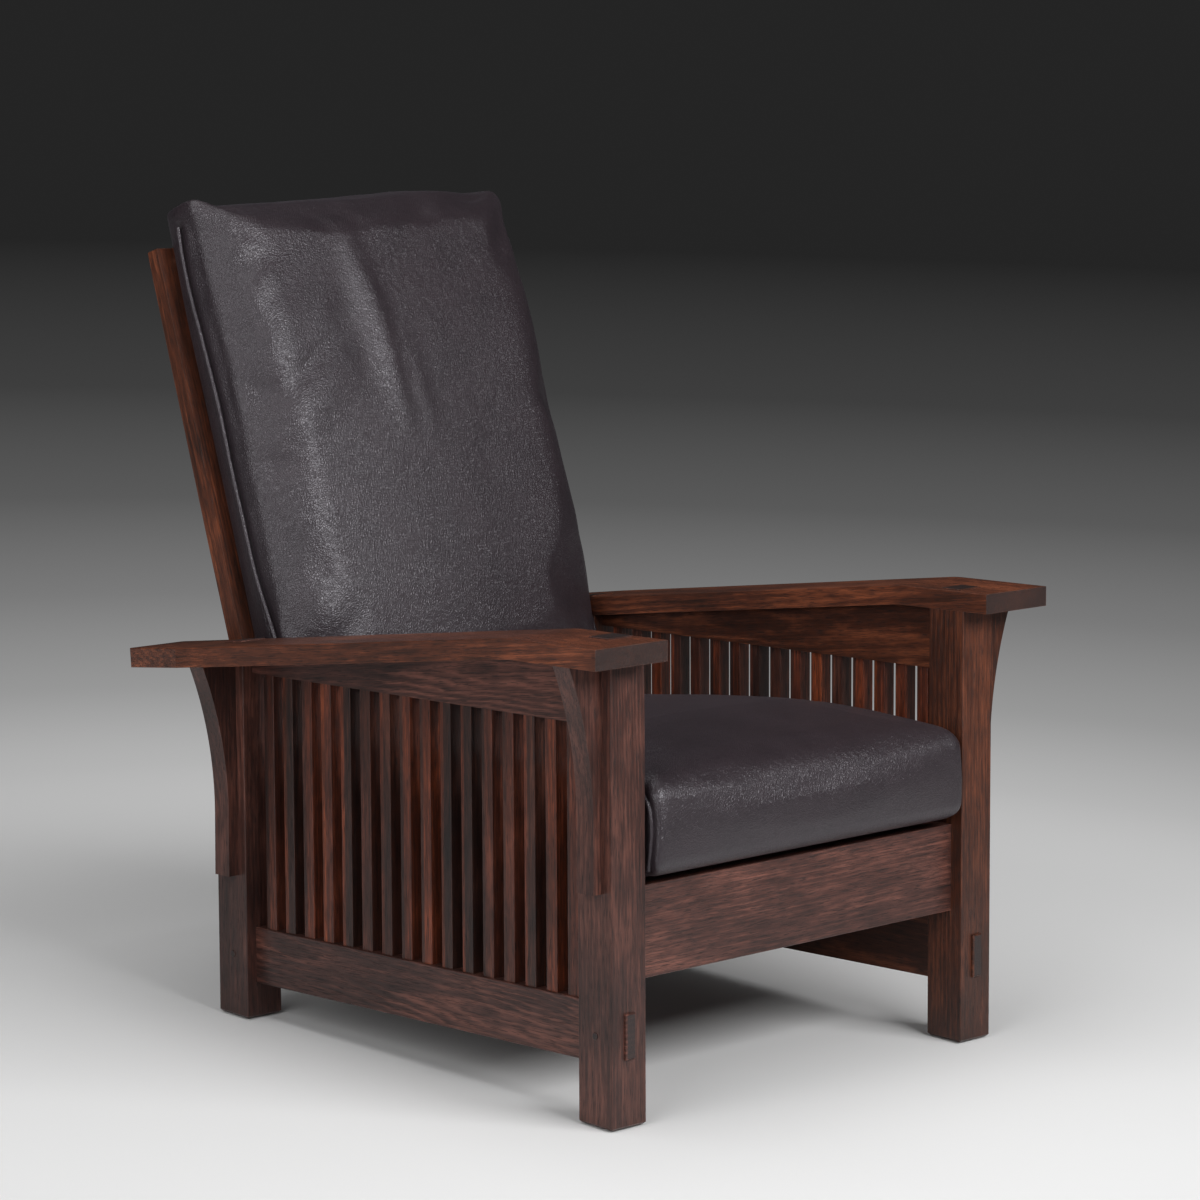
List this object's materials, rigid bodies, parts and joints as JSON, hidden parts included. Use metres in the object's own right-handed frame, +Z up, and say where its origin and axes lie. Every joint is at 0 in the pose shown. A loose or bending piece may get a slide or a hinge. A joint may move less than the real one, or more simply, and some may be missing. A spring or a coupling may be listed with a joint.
{
  "type": "reclining armchair",
  "caption": "Reclining armchair in dark oak with wide drop arms, spindle sides and corbels, a pegged adjustable back and loose leather cushions.",
  "frame": {"origin": "on the floor under the middle of the chair's outer box", "axes": "+Z up, +Y to the back of the chair (the sitter faces -Y), +X to the sitter's left; X = 0 is the plane of symmetry"},
  "size_m": [0.817, 0.982, 1.0483],
  "materials": {
    "oak_frame": "dark stained quarter-sawn oak, satin lacquer",
    "oak_arms": "dark stained oak, satin lacquer, slightly redder on the flat tops",
    "oak_turned_and_spindles": "dark stained oak, satin lacquer",
    "oak_hidden": "oak, thin stain, unpolished",
    "leather_seat": "dark aubergine-brown pebbled leather, semi-gloss",
    "leather_back": "dark aubergine-brown pebbled leather, semi-gloss",
    "steel": "blackened steel",
    "nylon": "dark moulded nylon"
  },
  "bodies": {
    "frame": {"arm_left": "oak_arms", "arm_right": "oak_arms", "cleat_screws": "steel", "foot_glides": "nylon", "front_corbel_left": "oak_frame", "front_corbel_right": "oak_frame", "front_post_left": "oak_frame", "front_post_right": "oak_frame", "front_seat_rail": "oak_frame", "hinge_bolt_left": "steel", "hinge_bolt_right": "steel", "hinge_washer_left": "nylon", "hinge_washer_right": "nylon", "rear_corbel_left": "oak_frame", "rear_corbel_right": "oak_frame", "rear_post_left": "oak_frame", "rear_post_right": "oak_frame", "rear_seat_rail": "oak_frame", "seat_cleat_left": "oak_hidden", "seat_cleat_right": "oak_hidden", "seat_slats": "oak_hidden", "side_bottom_rail_left": "oak_frame", "side_bottom_rail_right": "oak_frame", "side_seat_rail_left": "oak_frame", "side_seat_rail_right": "oak_frame", "side_top_rail_left": "oak_frame", "side_top_rail_right": "oak_frame", "spindles_left": "oak_turned_and_spindles", "spindles_right": "oak_turned_and_spindles", "tenon_pins": "oak_turned_and_spindles"},
    "back": {"back_bottom_rail": "oak_frame", "back_crest_rail": "oak_frame", "back_slat_1": "oak_frame", "back_slat_2": "oak_frame", "back_slat_3": "oak_frame", "back_slat_4": "oak_frame", "back_slat_5": "oak_frame", "back_stile_left": "oak_frame", "back_stile_right": "oak_frame"},
    "back_cushion": {"back_cushion": "leather_back"},
    "seat_cushion": {"seat_cushion": "leather_seat"},
    "peg_left": {"adjusting_peg_left": "oak_turned_and_spindles"},
    "peg_right": {"adjusting_peg_right": "oak_turned_and_spindles"}
  },
  "joints": [
    {"name": "back_tip", "type": "hinge", "parent": "frame", "child": "back", "pos_m": [0, 0.21582, 0.2453], "axis": [-1, 0, 0], "range_deg": [-12, 0]},
    {"name": "back_cushion_lift", "type": "slide", "parent": "back", "child": "back_cushion", "axis": [0, 0.3416, 0.9398], "range_m": [0, 0.2]},
    {"name": "seat_cushion_pull", "type": "slide", "parent": "frame", "child": "seat_cushion", "axis": [0, -0.9991, 0.0432], "range_m": [0, 0.25]},
    {"name": "peg_left_pull", "type": "slide", "parent": "frame", "child": "peg_left", "axis": [-1, 0, 0], "range_m": [0, 0.05]},
    {"name": "peg_right_pull", "type": "slide", "parent": "frame", "child": "peg_right", "axis": [1, 0, 0], "range_m": [0, 0.05]}
  ]
}
